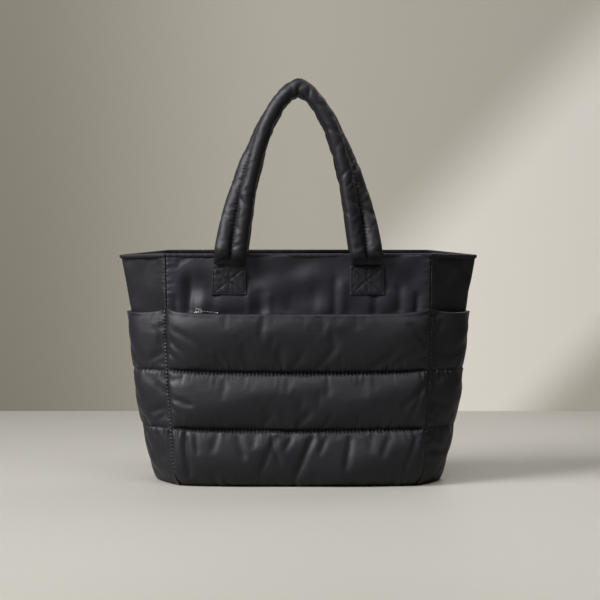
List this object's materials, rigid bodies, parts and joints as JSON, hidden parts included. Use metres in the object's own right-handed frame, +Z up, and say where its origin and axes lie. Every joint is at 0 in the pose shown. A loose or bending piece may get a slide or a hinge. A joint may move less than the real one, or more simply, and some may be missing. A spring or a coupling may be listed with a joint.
{
  "type": "puffer tote bag",
  "caption": "Padded cloth tote with an open mouth, two arched handles, a quilted zipped front pocket and a quilted open pocket round each end.",
  "frame": {"origin": "centre of the flat underside of the base, on the surface that the bag stands on", "axes": "+X to the viewer's right across the front, +Y from the front panel to the back panel, +Z up to the handles"},
  "size_m": [0.4508, 0.1583, 0.5079],
  "materials": {
    "shell_nylon": "black woven nylon with a low sheen over wadding",
    "tape_nylon": "black binding and zip tape, flat and slightly duller",
    "zip_metal": "nickel-plated zinc, bright with soft edges"
  },
  "bodies": {
    "bag": {"front_panel": "shell_nylon", "back_panel": "shell_nylon", "left_gusset": "shell_nylon", "right_gusset": "shell_nylon", "base_panel": "shell_nylon", "front_pocket": "shell_nylon", "left_side_pocket": "shell_nylon", "right_side_pocket": "shell_nylon", "front_handle": "shell_nylon", "back_handle": "shell_nylon", "front_tab_left": "shell_nylon", "front_tab_right": "shell_nylon", "back_tab_left": "shell_nylon", "back_tab_right": "shell_nylon", "rim_binding": "tape_nylon", "pocket_zip": "tape_nylon", "zip_slider": "zip_metal"},
    "zip_pull": {"zip_pull": "zip_metal"}
  },
  "joints": [
    {"name": "pull_hinge", "type": "hinge", "parent": "bag", "child": "zip_pull", "pos_m": [-0.12355, -0.05394, 0.21702], "axis": [-0.102, -0.9948, 0.0026], "range_deg": [0, 170]}
  ]
}
